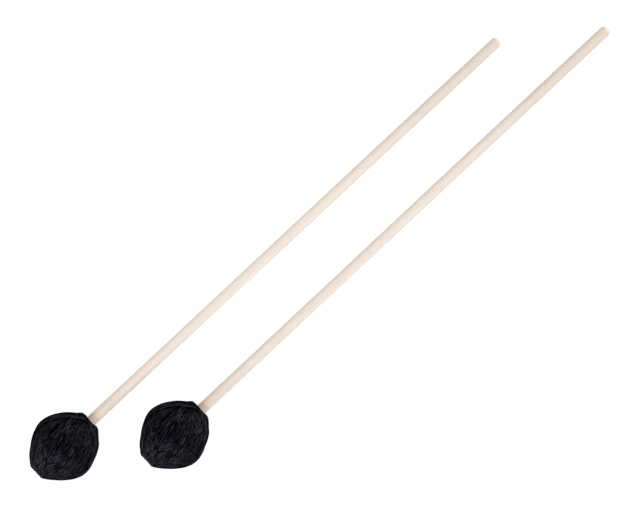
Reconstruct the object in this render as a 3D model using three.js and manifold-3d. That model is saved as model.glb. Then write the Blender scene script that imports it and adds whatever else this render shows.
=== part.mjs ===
// A matched pair of yarn-wound marimba mallets, lying on a flat surface.
// Millimetres. +Z is up, the shafts run along +X from the heads to the butts,
// and the origin is at the middle of the pair, on the surface they lie on.

import * as THREE from 'three';
import { mergeVertices } from 'three/addons/utils/BufferGeometryUtils.js';
import Module from 'manifold-3d';

const wasm = await Module();
wasm.setup();

// Driving dimensions of one mallet
const malletLength = 420; // crown of the head to the end of the butt
const headDiameter = 45.4; // over the yarn at its widest
const headLength = 49.3; // crown face to shaft face of the wound head
const shaftDiameter = 7.4;

// How the two mallets lie beside each other
const malletSpacing = 44.2; // between the shafts' axes
const malletStagger = 58.3; // how far the second mallet is pulled back along its shaft

// Clearances and overruns
const seatGap = 0.3; // between pieces that touch
const cutOverrun = 5; // how far a cut runs past the surface it opens

// Shaft
const buttDomeHeight = 2.7;
const buttFlatDiameter = 2;
const shaftChamfer = 0.6; // at the hidden end in the core
const buttDomeSteps = 5;

// Core and the sleeve on it
const coreFaceDiameter = 13; // flat face round each mouth of the bore
const wrapThickness = 1.2;
const wrapSetback = 3; // the core's bare length beside the sleeve, at each end

// Inner winding
const innerYarnThickness = 3.3; // at the widest place
const innerYarnEndThickness = 5.2; // over the ends of the core
const innerRimDiameter = 12.8;

// Outer winding. Its strands lean as a loop does that just clears the shaft.
const outerYarnThickness = 3.3; // at the widest place
const outerYarnEndThickness = 3.85; // over the ends of the inner winding
const rimDiameter = 13.6; // the raised rim round each end of the head
const rimWidth = 0.9;
const recessDiameter = 11.6; // the floor of the dimple inside the rim
const recessDepth = 2;
const crownEyeDiameter = 5;
const strandCount = 24; // raised strands round the head
const strandDepth = 0.9; // of the grooves between them, at the widest place
const loopClearRadius = 7.4; // the circle round the axis that every loop just touches
const steepestLeanShare = 0.7; // sine of the most that a strand leans, beside the rims
const strandShapeShares = [0, 0.3, 1, 0.3]; // depth across one strand and the groove beside it
const restFlatDepth = 0.5; // how far the yarn is pressed flat where the head rests

// Thread stitching
const stitchHeight = 1.5;
const stitchCount = 12;
const stitchBulge = 0.25; // how far each stitch stands out of the ring
const stitchShapeShares = [0, 1]; // depth on a stitch and between two
const stitchWall = 0.3; // between the stitching and the recess round it
const crownStitchHoleDiameter = 2;

// Counts of facets
const turnSegments = 24;
const bellySteps = 6; // from the widest place of the outer winding to a rim
const innerBellySteps = 3;
const skinSteps = 8;
const faceSteps = 2;

// Worked out from the sizes above
const shaftRadius = shaftDiameter / 2;
const headRadius = headDiameter / 2;
const headCentre = headLength / 2;
const boreRadius = shaftRadius + seatGap;
const innerYarnRadius = headRadius - outerYarnThickness - seatGap;
const innerYarnLength = headLength - 2 * (outerYarnEndThickness + seatGap);
const wrapOuterRadius = innerYarnRadius - innerYarnThickness - seatGap;
const coreRadius = wrapOuterRadius - wrapThickness - seatGap;
const coreLength = innerYarnLength - 2 * (innerYarnEndThickness + seatGap);
const wrapLength = coreLength - 2 * wrapSetback;
const restHeight = headRadius - restFlatDepth; // the head's middle over the surface
const quarterTurn = Math.PI / 2;

// Radius of a ball whose flat faces are cut square across its axis, at a distance from its middle.
// Its ends are where the ball's own curve reaches the radius of the faces.
function ballRadius(radius, halfLength, faceRadius, distance) {
  const reach = halfLength / Math.sqrt(1 - (faceRadius / radius) ** 2);
  return radius * Math.sqrt(1 - (distance / reach) ** 2);
}

// Radius of a winding at a share of its half length: 0 at the widest place, 1 at either rim.
// The loops pile up at the rims, so the shoulders fall in a half wave and not as a ball's do.
function bellyRadius(radius, rimRadius, share) {
  return rimRadius + (radius - rimRadius) * Math.cos(share * quarterTurn);
}

// Closed geometry turned round the mallet's axis, which is local Y. Points are [radius, distance].
function turned(points) {
  const outline = points.map(([radius, distance]) => new THREE.Vector2(radius, distance));
  return weld(new THREE.LatheGeometry(outline, turnSegments));
}

function weld(geometry) {
  geometry.deleteAttribute('normal');
  geometry.deleteAttribute('uv');
  return mergeVertices(geometry);
}

// Closed geometry whose rings of points swell and sink round the axis. Each ring has its radius, its
// distance, how deep its grooves are and how far it is twisted. The first and last rings are capped.
function grooved(rings, ribs, depthShares) {
  const around = ribs * depthShares.length;
  const positions = [];
  for (const ring of rings) {
    for (let step = 0; step < around; step += 1) {
      const angle = ring.twist + (step / around) * 2 * Math.PI;
      const radius = ring.radius - ring.groove * depthShares[step % depthShares.length];
      positions.push(radius * Math.sin(angle), ring.distance, radius * Math.cos(angle));
    }
  }
  const first = rings[0];
  const last = rings[rings.length - 1];
  positions.push(0, first.distance, 0, 0, last.distance, 0);
  const firstPole = rings.length * around;
  const lastPole = firstPole + 1;
  const faces = [];
  for (let step = 0; step < around; step += 1) {
    const next = (step + 1) % around;
    for (let row = 0; row + 1 < rings.length; row += 1) {
      const below = row * around;
      const above = below + around;
      faces.push(below + step, below + next, above + next);
      faces.push(below + step, above + next, above + step);
    }
    const top = (rings.length - 1) * around;
    faces.push(firstPole, next, step);
    faces.push(lastPole, top + step, top + next);
  }
  const geometry = new THREE.BufferGeometry();
  geometry.setAttribute('position', new THREE.Float32BufferAttribute(positions, 3));
  geometry.setIndex(faces);
  return geometry;
}

function toSolid(geometry) {
  return new wasm.Manifold(new wasm.Mesh({
    numProp: 3,
    vertProperties: new Float32Array(geometry.attributes.position.array),
    triVerts: new Uint32Array(geometry.index.array),
  }));
}

function toGeometry(solid) {
  const mesh = solid.getMesh();
  const geometry = new THREE.BufferGeometry();
  geometry.setAttribute('position', new THREE.BufferAttribute(mesh.vertProperties, 3));
  geometry.setIndex(new THREE.BufferAttribute(mesh.triVerts, 1));
  return geometry;
}

// A straight dowel: square in the core with a small chamfer, domed down to a small flat at the butt.
function shaftGeometry() {
  const start = headCentre - coreLength / 2;
  const buttFlatRadius = buttFlatDiameter / 2;
  const points = [
    [0, start],
    [shaftRadius - shaftChamfer, start],
    [shaftRadius, start + shaftChamfer],
  ];
  for (let step = buttDomeSteps; step >= 0; step -= 1) {
    const share = step / buttDomeSteps;
    points.push([
      buttFlatRadius + (shaftRadius - buttFlatRadius) * Math.sin(share * quarterTurn),
      malletLength - share * buttDomeHeight,
    ]);
  }
  points.push([0, malletLength]);
  return turned(points);
}

// A moulded ball with a flat face round each mouth of its bore.
function coreGeometry() {
  const halfLength = coreLength / 2;
  const faceRadius = coreFaceDiameter / 2;
  const points = [[boreRadius, headCentre - halfLength]];
  for (let step = 0; step <= skinSteps; step += 1) {
    const distance = halfLength * ((2 * step) / skinSteps - 1);
    points.push([ballRadius(coreRadius, halfLength, faceRadius, distance), headCentre + distance]);
  }
  points.push([boreRadius, headCentre + halfLength]);
  points.push([boreRadius, headCentre - halfLength]);
  return turned(points);
}

// Points of a skin round the core, at a gap from it, from one distance to another.
function skinOverCore(gap, from, to, steps) {
  const halfLength = coreLength / 2 + gap;
  const faceRadius = coreFaceDiameter / 2 + gap;
  const points = [];
  for (let step = 0; step <= steps; step += 1) {
    const distance = from + (to - from) * (step / steps);
    points.push([ballRadius(coreRadius + gap, halfLength, faceRadius, distance), headCentre + distance]);
  }
  return points;
}

// The latex sleeve follows the core's curve round its waist.
function wrapGeometry() {
  const half = wrapLength / 2;
  const outer = skinOverCore(seatGap + wrapThickness, -half, half, skinSteps);
  const inner = skinOverCore(seatGap, half, -half, skinSteps);
  return turned([...outer, ...inner, outer[0]]);
}

// A winding's outline from one rim to the other, with points closer together towards the rims.
function bellyPoints(radius, rimRadius, halfLength, steps) {
  const points = [];
  for (let step = -steps; step <= steps; step += 1) {
    const share = Math.sin((step / steps) * quarterTurn);
    points.push([bellyRadius(radius, rimRadius, share), headCentre + share * halfLength]);
  }
  return points;
}

// The first winding fills the head out to its shape. It lies on the sleeve and on the core's bare
// ends, and leaves an eye at each end.
function innerYarnGeometry() {
  const halfLength = innerYarnLength / 2;
  const bedHalfLength = coreLength / 2 + seatGap;
  const wrapEnd = wrapLength / 2 + seatGap;
  return turned([
    [boreRadius, headCentre - bedHalfLength],
    [boreRadius, headCentre - halfLength],
    ...bellyPoints(innerYarnRadius, innerRimDiameter / 2, halfLength, innerBellySteps),
    [boreRadius, headCentre + halfLength],
    [boreRadius, headCentre + bedHalfLength],
    ...skinOverCore(seatGap, bedHalfLength, wrapEnd, faceSteps),
    ...skinOverCore(2 * seatGap + wrapThickness, wrapEnd, -wrapEnd, skinSteps),
    ...skinOverCore(seatGap, -wrapEnd, -bedHalfLength, faceSteps),
    [boreRadius, headCentre - bedHalfLength],
  ]);
}

// The outer winding: strands that lean round the head and gather into a raised rim at each end,
// hollow over the inner winding, with the eye at the crown and the shaft's hole at the other end.
function outerYarnGeometry(lieAngle) {
  const rimRadius = rimDiameter / 2;
  const rings = windingRings(headRadius, rimRadius, headLength / 2);
  const rimInside = { radius: rimRadius - rimWidth, groove: 0 };
  const recess = { radius: recessDiameter / 2, groove: 0 };
  const crownTwist = rings[0].twist;
  const shaftTwist = rings[rings.length - 1].twist;
  rings.unshift({ ...rimInside, distance: 0, twist: crownTwist });
  rings.unshift({ ...recess, distance: recessDepth, twist: crownTwist });
  rings.push({ ...rimInside, distance: headLength, twist: shaftTwist });
  rings.push({ ...recess, distance: headLength - recessDepth, twist: shaftTwist });
  const outside = toSolid(grooved(rings, strandCount, strandShapeShares));

  const hollowHalfLength = innerYarnLength / 2 + seatGap;
  const hollowRadius = innerYarnRadius + seatGap;
  const hollowRim = innerRimDiameter / 2 + seatGap;
  const hollow = toSolid(turned([
    [0, headCentre - hollowHalfLength],
    ...bellyPoints(hollowRadius, hollowRim, hollowHalfLength, innerBellySteps),
    [0, headCentre + hollowHalfLength],
  ]));
  const eye = bar(crownEyeDiameter / 2, -cutOverrun, headCentre);
  const shaftHole = bar(boreRadius, headCentre, headLength + cutOverrun);
  const wound = outside.subtract(hollow).subtract(eye).subtract(shaftHole);
  return toGeometry(wound.subtract(surfaceBelow(lieAngle)));
}

// Rings of a winding from the crown's rim to the shaft's rim. Each is turned on from the one before
// by the angle that a leaning strand gains: a loop that just touches a circle round the axis leans,
// at each radius, by the angle whose sine is that circle's radius over its own.
function windingRings(widest, rimRadius, halfLength) {
  const rings = [];
  let twist = 0;
  for (const [radius, distance] of bellyPoints(widest, rimRadius, halfLength, bellySteps)) {
    const before = rings[rings.length - 1];
    if (before) {
      const meanRadius = (radius + before.radius) / 2;
      const length = Math.hypot(radius - before.radius, distance - before.distance);
      const lean = Math.asin(Math.min(loopClearRadius / meanRadius, steepestLeanShare));
      twist += (Math.tan(lean) * length) / meanRadius;
    }
    rings.push({ radius, distance, twist, groove: strandDepth * (radius / widest) });
  }
  const middle = rings[(rings.length - 1) / 2].twist;
  return rings.map((ring) => ({ ...ring, twist: ring.twist - middle }));
}

// A round bar along the mallet's axis, used as a cutter.
function bar(radius, from, to) {
  return toSolid(turned([[0, from], [radius, from], [radius, to], [0, to]]));
}

// Everything below the surface that a mallet lies on, in the mallet's own frame.
function surfaceBelow(lieAngle) {
  const size = headDiameter + 2 * cutOverrun;
  const block = new THREE.BoxGeometry(size, headLength + 2 * cutOverrun, size);
  block.translate(0, 0, -(restHeight + size / 2));
  block.rotateX(lieAngle);
  block.translate(0, headCentre, 0);
  return toSolid(weld(block));
}

// Thread gathered into a ring with a bulge for each stitch, seated in the dimple at one end.
function stitchGeometry(holeRadius, from, to) {
  const outerRadius = recessDiameter / 2 - stitchWall;
  const middle = (from + to) / 2;
  const rings = [];
  const outline = [
    { radius: outerRadius - stitchHeight / 3, distance: from },
    { radius: outerRadius, distance: middle - stitchHeight / 6 },
    { radius: outerRadius, distance: middle + stitchHeight / 6 },
    { radius: outerRadius - stitchHeight / 3, distance: to },
  ];
  for (const point of outline) {
    rings.push({ ...point, groove: stitchBulge, twist: 0 });
  }
  const ring = toSolid(grooved(rings, stitchCount, stitchShapeShares));
  const hole = bar(holeRadius, from - cutOverrun, to + cutOverrun);
  return toGeometry(ring.subtract(hole));
}

// The angle at which a mallet lies: its head rests on the flat, and its butt on the edge of the dome.
function angleOfRest() {
  const reach = malletLength - buttDomeHeight - headCentre;
  return Math.asin(restHeight / Math.hypot(reach, shaftRadius)) - Math.atan2(shaftRadius, reach);
}

const finishes = {
  birch: { color: 0xeee2d7, roughness: 0.55, metalness: 0 },
  rubber: { color: 0x3a3a3c, roughness: 0.8, metalness: 0 },
  latex: { color: 0xd8c39a, roughness: 0.7, metalness: 0 },
  innerYarn: { color: 0x4a4a50, roughness: 0.95, metalness: 0 },
  blackYarn: { color: 0x1c1c22, roughness: 0.9, metalness: 0 },
  thread: { color: 0x141418, roughness: 0.8, metalness: 0 },
};

function piece(name, geometry, finish) {
  const mesh = new THREE.Mesh(geometry, new THREE.MeshStandardMaterial(finishes[finish]));
  mesh.name = name;
  return mesh;
}

// One mallet, with its crown at the group's origin and its shaft along the group's Y.
function mallet(name, lieAngle) {
  const crownSeat = recessDepth - seatGap;
  const shaftSeat = headLength - recessDepth + seatGap;
  const crownStitching = stitchGeometry(
    crownStitchHoleDiameter / 2,
    crownSeat - stitchHeight,
    crownSeat,
  );
  const shaftStitching = stitchGeometry(boreRadius, shaftSeat, shaftSeat + stitchHeight);
  const group = new THREE.Group();
  group.add(
    piece(`${name}_shaft`, shaftGeometry(), 'birch'),
    piece(`${name}_core`, coreGeometry(), 'rubber'),
    piece(`${name}_under_wrap`, wrapGeometry(), 'latex'),
    piece(`${name}_inner_yarn`, innerYarnGeometry(), 'innerYarn'),
    piece(`${name}_outer_yarn`, outerYarnGeometry(lieAngle), 'blackYarn'),
    piece(`${name}_crown_stitching`, crownStitching, 'thread'),
    piece(`${name}_shaft_stitching`, shaftStitching, 'thread'),
  );
  group.rotation.set(0, lieAngle, -quarterTurn);
  group.position.z = restHeight + headCentre * Math.sin(lieAngle);
  return group;
}

const lieAngle = angleOfRest();
const first = mallet('mallet_a', lieAngle);
const second = mallet('mallet_b', lieAngle);
first.position.y = malletSpacing / 2;
second.position.y = -malletSpacing / 2;
second.position.x = malletStagger;

const pair = new THREE.Group();
pair.add(first, second);
const box = new THREE.Box3().setFromObject(pair, true);
pair.position.x = -(box.min.x + box.max.x) / 2;
pair.position.y = -(box.min.y + box.max.y) / 2;

export default pair;
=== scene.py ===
# %% [markdown]
# # A matched pair of marimba mallets
#
# A marimba mallet is a straight birch dowel with a rubber ball glued to one end. Soft yarn is wound over the
# ball by hand, loop after loop, and a thread sewn round both ends keeps the loops together.
#
# The construction model already holds every piece at its real size. This script only dresses it: it loads
# that model as a fixed frame, and builds a fine mesh and a finish for each piece in the same place.

# %% Load the frame
import math

import bmesh
import bpy
import numpy as np
from mathutils import Matrix, Vector


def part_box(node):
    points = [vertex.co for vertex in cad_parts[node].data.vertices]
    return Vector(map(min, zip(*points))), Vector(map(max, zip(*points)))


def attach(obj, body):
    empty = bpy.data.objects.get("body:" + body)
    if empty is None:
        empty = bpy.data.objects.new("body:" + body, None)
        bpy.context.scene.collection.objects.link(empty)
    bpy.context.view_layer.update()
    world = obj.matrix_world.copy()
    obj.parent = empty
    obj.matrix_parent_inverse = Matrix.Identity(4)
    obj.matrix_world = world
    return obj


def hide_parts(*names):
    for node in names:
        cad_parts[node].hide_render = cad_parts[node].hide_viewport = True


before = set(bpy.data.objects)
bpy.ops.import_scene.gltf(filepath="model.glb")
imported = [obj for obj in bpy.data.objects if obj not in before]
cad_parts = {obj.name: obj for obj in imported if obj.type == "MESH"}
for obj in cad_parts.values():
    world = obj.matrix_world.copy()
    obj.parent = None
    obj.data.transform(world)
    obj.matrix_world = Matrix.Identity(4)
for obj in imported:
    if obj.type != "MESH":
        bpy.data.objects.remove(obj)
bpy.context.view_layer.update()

MM = 0.001
MALLETS = ("mallet_a", "mallet_b")

# %% [markdown]
# ## Where each mallet lies
#
# Each mallet leans a little, because its head is thicker than its shaft. Working along a leaning axis is
# awkward, so every piece is made in the mallet's own coordinates first: millimetres, with z running from the
# crown down the shaft and x pointing away from the table. One matrix for each mallet then puts the finished
# mesh in place, and the object stays at the origin. The frame's own boxes give that matrix.

# %% The mallets' own coordinates
head_length = 49.3
mallet_length = 420.0


def middle(node):
    """The centre of a node's box, in metres."""
    low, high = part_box(node)
    return (Vector(low) + Vector(high)) / 2


def place_of(mallet):
    """The matrix from the mallet's own millimetres to the frame's metres."""
    along = middle(f"{mallet}_shaft_stitching") - middle(f"{mallet}_crown_stitching")
    along.normalize()
    away = Vector((0, 0, 1))
    away = (away - along * away.dot(along)).normalized()
    across = along.cross(away)
    crown = middle(f"{mallet}_core") - along * head_length / 2 * MM
    turn = Matrix((away, across, along)).transposed().to_4x4()
    return Matrix.Translation(crown) @ turn @ Matrix.Scale(MM, 4)


places = {mallet: place_of(mallet) for mallet in MALLETS}
for mallet, place in places.items():
    print(mallet, "crown at", [round(value, 4) for value in place.translation])

# %% [markdown]
# ## Camera
#
# The photograph looks straight down on the table, and nearly without perspective: both heads have the same
# size and the shafts don't taper. A long lens far above the table gives that. The camera is only turned
# about its own axis, so that the shafts run from the lower left to the upper right.

# %% Camera
camera_lens = 150.0
camera_height = 1.7855
camera_place = (-0.0034, -0.0009)
camera_turn = math.radians(43.1)
farthest_seen = 100.0


def in_scene(name, data):
    """An object in the scene that shows this data."""
    thing = bpy.data.objects.new(name, data)
    bpy.context.scene.collection.objects.link(thing)
    return thing


camera_data = bpy.data.cameras.new("camera")
camera_data.lens = camera_lens
camera_data.clip_end = farthest_seen
camera = in_scene("camera", camera_data)
camera.location = (*camera_place, camera_height)
camera.rotation_euler = (0, 0, -camera_turn)
bpy.context.scene.camera = camera
print("camera", camera_height, "m above the table")

# %% [markdown]
# ## Nodes
#
# Every finish below is a small node tree. One function adds a node of any kind, sets its options, and fills
# or links its sockets, so a tree reads as a list of steps. Sockets go by their identifiers, because some
# nodes have several sockets of one name. Colours are written as the hex values that a painter would pick on
# screen, and one function turns them into the linear light that the renderer works in.

# %% Helpers for finishes
colours = {"data_type": "RGBA"}  # for a Mix node that mixes colours
softly = {"interpolation_type": "SMOOTHSTEP"}  # for a Map Range node without hard ends


def linear(hex_colour):
    """A colour such as "#e8dccf" as linear red, green, blue and alpha."""
    levels = [int(hex_colour[at:at + 2], 16) / 255 for at in (1, 3, 5)]
    light = [v / 12.92 if v <= 0.04045 else ((v + 0.055) / 1.055) ** 2.4 for v in levels]
    return (*light, 1.0)


def add(tree, kind, inputs=None, **settings):
    """Add a node. An input gets a value, or a link from a socket or from a node's first live output."""
    node = tree.nodes.new("ShaderNode" + kind)
    for name, value in settings.items():
        setattr(node, name, value)
    sockets = {socket.identifier: socket for socket in node.inputs}
    for name, value in (inputs or {}).items():
        if isinstance(value, bpy.types.Node):
            value = next(output for output in value.outputs if output.enabled)
        if isinstance(value, bpy.types.NodeSocket):
            tree.links.new(value, sockets[name])
        else:
            sockets[name].default_value = value
    return node


def new_material(name):
    """An empty material and its node tree."""
    material = bpy.data.materials.new(name)
    material.use_nodes = True
    material.node_tree.nodes.clear()
    return material, material.node_tree


print("middle grey on screen is", round(linear("#808080")[0], 3), "in linear light")

# %% [markdown]
# ## Table
#
# The photograph is a product picture: white all round, with no shadow to speak of. A studio gets that from a
# sheet of opal acrylic that is lit from below, so that the sheet burns out while the object is exposed
# normally. The floor here does the same. It shines by itself, and it is a middle grey to the lamps above it,
# because a white sheet would throw so much of their light back up that the pale shafts lose their edges.

# %% Floor
floor_size = 12.0
floor_drop = 0.0002
floor_glow = 0.92

floor_material, tree = new_material("white_acrylic_sheet")
sheet = add(tree, "BsdfPrincipled", {
    "Base Color": linear("#787878"),
    "Roughness": 0.9,
    "Specular IOR Level": 0.1,
    "Emission Color": linear("#ffffff"),
    "Emission Strength": floor_glow,
})
add(tree, "OutputMaterial", {"Surface": sheet})

shape = bmesh.new()
bmesh.ops.create_grid(shape, x_segments=1, y_segments=1, size=floor_size / 2)
bmesh.ops.translate(shape, verts=shape.verts, vec=(0, 0, -floor_drop))
floor_mesh = bpy.data.meshes.new("floor")
shape.to_mesh(floor_mesh)
shape.free()
floor_mesh.materials.append(floor_material)
floor = in_scene("floor", floor_mesh)
print("floor", floor_size, "m wide")

# %% [markdown]
# ## Light
#
# Two soft boxes stand low, one beyond the heads and one beyond the butts. Light that runs along the shafts
# makes the middle of each shaft lighter than its edges. On each head it lets the strands glint on the
# crown's side and on the shaft's side, while a band across the belly stays dark. The box at the butts stands
# a little to one side, so one edge of each shaft is darker. A weak white sky fills the rest.

# %% Lights
sky_strength = 0.25
soft_boxes = (
    {"name": "soft_box_at_heads", "place": (-1.9, 0.1, 1.1), "size": 1.5, "power": 55.0},
    {"name": "soft_box_at_butts", "place": (4.4, -1.0, 2.5), "size": 2.4, "power": 234.0},
)

world = bpy.data.worlds.new("studio")
world.use_nodes = True
world.node_tree.nodes.clear()
sky = add(world.node_tree, "Background", {"Color": linear("#ffffff"), "Strength": sky_strength})
add(world.node_tree, "OutputWorld", {"Surface": sky})
bpy.context.scene.world = world

for box in soft_boxes:
    lamp = bpy.data.lights.new(box["name"], "AREA")
    lamp.size = box["size"]
    lamp.energy = box["power"]
    place = Vector(box["place"])
    holder = in_scene(box["name"], lamp)
    holder.location = place
    holder.rotation_euler = place.to_track_quat("Z", "Y").to_euler()
    print(box["name"], round(place.length, 1), "m away")
bpy.context.scene.view_settings.view_transform = "Standard"

# %% [markdown]
# ## Birch
#
# The shaft is a straight-grained birch dowel, sanded and given a thin satin lacquer. Birch is pale and
# quiet: the eye reads a warm cream with faint streaks along the length, a few tiny pores like pencil ticks,
# and a slightly darker, speckled end where the grain is cut across.
#
# Wood is a solid, so its pattern is made in space rather than painted on the surface: noise that is narrow
# across the grain and long along it. A Mapping node turns the frame's metres into the mallet's own
# millimetres, so the sizes below are real ones. A birch fibre is only 0.02 mm wide and a pore 0.07 mm, too
# fine to show even from near by, so both are drawn coarser.

# %% Birch patterns
birch_noises = {  # size in millimetres, detail, roughness
    "growth": ((2.2, 9.0, 260.0), 2.0, 0.5),
    "fibre": ((0.3, 0.3, 26.0), 3.0, 0.6),
    "pore": ((0.13, 0.13, 3.2), 1.0, 0.5),
    "speckle": ((0.35, 0.35, 0.35), 3.0, 0.5),
}


def own_place(tree, mallet):
    """The point on the surface, in the mallet's own millimetres."""
    return add(tree, "Mapping", {
        "Vector": add(tree, "TexCoord").outputs["Object"],
        "Location": places[mallet].translation,
        "Rotation": places[mallet].to_euler(),
        "Scale": (MM, MM, MM),
    }, vector_type="TEXTURE")


def birch_patterns(tree, place):
    """The noises of growth rings, fibres, pores and cut ends, by name."""
    noises = {}
    for name, (size, detail, roughness) in birch_noises.items():
        scaled = add(tree, "VectorMath", {"Vector": place, "Vector_001": size}, operation="DIVIDE")
        inputs = {"Vector": scaled, "Scale": 1.0, "Detail": detail, "Roughness": roughness}
        noises[name] = add(tree, "TexNoise", inputs)
    return noises


print("birch patterns:", list(birch_noises))

# %% [markdown]
# The colour is built up as a painter glazes, in thin layers. Late wood comes first, then fibres and pores.
# Next to the head the wood is lighter and a little warmer: a warmer tone, and painted light that lifts the
# shadow the head throws on the shaft there. Towards the butt it is a little darker and greyer: painted shade
# that takes back the stronger light of the soft box at the butts. The cut end comes last. A table of layers
# is easier to read and to change than a long chain of nodes. The fibres also raise the grain a little and
# make the satin uneven.

# %% Birch finish
end_grain_depth = 2.6
raised_grain = 0.02
# In each layer: what decides, where it starts, where it is full, how much it covers then, and its colour.
cut_end_layers = [("speckle", 0.4, 0.65, 1.0, "#cdb498")]
birch_layers = [
    ("growth", 0.35, 0.65, 1.0, "#e6d9ce"),
    ("fibre", 0.35, 0.75, 0.55, "#dcccbd"),
    ("pore", 0.66, 0.78, 0.5, "#c9b097"),
    # painted light: lighter and warmer next to the head, against the head's shadow on the shaft
    ("length", 67.0, 49.0, 0.95, "#ffecd5"),
    # painted shade: darker towards the butt, against the stronger light of the soft box near the butts
    ("length", 220.0, 400.0, 0.7, "#dccdbe"),
    ("length", mallet_length - end_grain_depth, mallet_length, 0.6, "cut_end"),
]


def layered(tree, colour, layers, values):
    """A colour with layers over it. Values hold what the layers name."""
    for name, start, full, most, over in layers:
        shown = add(tree, "MapRange", {
            "Value": values[name], "From Min": start, "From Max": full, "To Max": most,
        }, **softly)
        over = values[over] if over in values else linear(over)
        colour = add(tree, "Mix", {"Factor_Float": shown, "A_Color": colour, "B_Color": over}, **colours)
    return colour


def birch(mallet):
    """Satin birch, with its grain along this mallet's shaft."""
    material, tree = new_material(f"{mallet}_satin_birch")
    place = own_place(tree, mallet)
    values = birch_patterns(tree, place)
    values["length"] = add(tree, "SeparateXYZ", {"Vector": place}).outputs["Z"]
    values["cut_end"] = layered(tree, linear("#e9d8c5"), cut_end_layers, values)
    fibre = values["fibre"]
    satin = add(tree, "MapRange", {
        "Value": fibre, "From Min": 0.3, "From Max": 0.7, "To Min": 0.42, "To Max": 0.54,
    }, **softly)
    lacquered = add(tree, "BsdfPrincipled", {
        "Base Color": layered(tree, linear("#efe5dd"), birch_layers, values),
        "Roughness": satin,
        "Specular IOR Level": 0.35,
        "Normal": add(tree, "Bump", {"Height": fibre, "Strength": 0.25, "Distance": raised_grain * MM}),
    })
    add(tree, "OutputMaterial", {"Surface": lacquered})
    return material


satin_birch = [birch(mallet) for mallet in MALLETS]
print("birch in", len(birch_layers), "layers:", [material.name for material in satin_birch])

# %% [markdown]
# ## Shaft
#
# A dowel is a lathe shape: one outline spun about the axis. The outline starts inside the head with a small
# chamfer, runs straight to the other end and closes there with the low dome that keeps the butt pleasant in
# the hand. A cylinder with a bevelled end would do as well, but spinning is closer to how a dowel is turned,
# and the same helper serves the latex strip and the winding later. Two more helpers put a mesh in place.

# %% Spin an outline, and put pieces in place
merge_distance = 0.0001


def finished(name, shape):
    """A smooth mesh of a bmesh, with its doubles merged and all faces pointing outwards."""
    bmesh.ops.remove_doubles(shape, verts=shape.verts, dist=merge_distance)
    bmesh.ops.recalc_face_normals(shape, faces=shape.faces)
    mesh = bpy.data.meshes.new(name)
    shape.to_mesh(mesh)
    shape.free()
    mesh.shade_smooth()
    return mesh


def spun(name, outline, sides):
    """A mesh made by spinning an outline of (radius, length) points, in millimetres, about the z axis."""
    shape = bmesh.new()
    line = [shape.verts.new((radius, 0, length)) for radius, length in outline]
    edges = [shape.edges.new(pair) for pair in zip(line, line[1:])]
    bmesh.ops.spin(shape, geom=line + edges, cent=(0, 0, 0), axis=(0, 0, 1), dvec=(0, 0, 0),
                   angle=2 * math.pi, steps=sides, use_merge=True)
    return finished(name, shape)


def add_piece(name, mesh, mallet, material, slot, *nodes):
    """Put a mesh made in the mallet's own millimetres in place, as a piece that stands for its nodes."""
    mesh.transform(places[mallet])
    mesh.materials.clear()
    mesh.materials.append(material)
    piece = in_scene(name, mesh)
    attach(piece, mallet)
    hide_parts(*nodes)
    print(name, len(mesh.polygons), "faces")


def add_to_both(name, mesh, materials, slot, node):
    """Put a copy of a mesh on each mallet. Gives the placed meshes."""
    copies = [mesh.copy() for _ in MALLETS]
    for mallet, placed, material in zip(MALLETS, copies, materials):
        placed.name = f"{mallet}_{name}"
        add_piece(placed.name, placed, mallet, material, slot, f"{mallet}_{node}")
    return copies


print("spun corners within", merge_distance, "mm are merged")

# %% [markdown]
# The outline is a list of points in named sizes. The long straight stretch is divided as well, because very
# long thin faces shade badly.

# %% Turn the shafts
shaft_radius = 3.7
shaft_start = 9.65
shaft_chamfer = 0.6
straight_steps = 8
butt_dome_height = 2.7
butt_flat_radius = 1.0
butt_dome_steps = 10
shaft_sides = 64


def shaft_outline():
    """The dowel's outline from its end in the core to the domed butt."""
    outline = [(0.0, shaft_start), (shaft_radius - shaft_chamfer, shaft_start)]
    outline.append((shaft_radius, shaft_start + shaft_chamfer))
    straight = mallet_length - butt_dome_height - shaft_start
    for step in range(1, straight_steps):
        outline.append((shaft_radius, shaft_start + step / straight_steps * straight))
    for step in range(butt_dome_steps + 1):
        turn = step / butt_dome_steps * math.pi / 2
        radius = butt_flat_radius + (shaft_radius - butt_flat_radius) * math.cos(turn)
        outline.append((radius, mallet_length - butt_dome_height * (1 - math.sin(turn))))
    outline.append((0.0, mallet_length))
    return outline


dowel_mesh = spun("birch_dowel", shaft_outline(), shaft_sides)
add_to_both("birch_dowel", dowel_mesh, satin_birch, "birch", "shaft")

# %% [markdown]
# ## Rubber core
#
# The ball under the yarn is moulded black rubber, bored for the shaft. Its construction solid already has
# the right shape, so it stays, and only gets a finish: matt, a little dusty from talc, with the fine pitting
# that a sand-blasted mould leaves. The pits are drawn half a millimetre wide, coarser than the real ones.

# %% Rubber finish
mould_pit_size = 0.5
mould_pit_depth = 0.05
talc_patch_size = 6.0
talc_layers = [("talc", 0.5, 0.8, 0.4, "#6d6b66")]


def moulded_rubber(mallet):
    """Matt black rubber with mould pits and a trace of talc."""
    material, tree = new_material(f"{mallet}_moulded_rubber")
    place = own_place(tree, mallet)
    pits = add(tree, "TexNoise", {"Vector": place, "Scale": 1 / mould_pit_size, "Detail": 2.0})
    talc = add(tree, "TexNoise", {"Vector": place, "Scale": 1 / talc_patch_size, "Detail": 4.0})
    dullness = add(tree, "MapRange", {
        "Value": talc, "From Min": 0.4, "From Max": 0.8, "To Min": 0.6, "To Max": 0.85,
    }, **softly)
    rubber = add(tree, "BsdfPrincipled", {
        "Base Color": layered(tree, linear("#262628"), talc_layers, {"talc": talc}),
        "Roughness": dullness,
        "Normal": add(tree, "Bump", {"Height": pits, "Strength": 0.4, "Distance": mould_pit_depth * MM}),
    })
    add(tree, "OutputMaterial", {"Surface": rubber})
    return material


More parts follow.
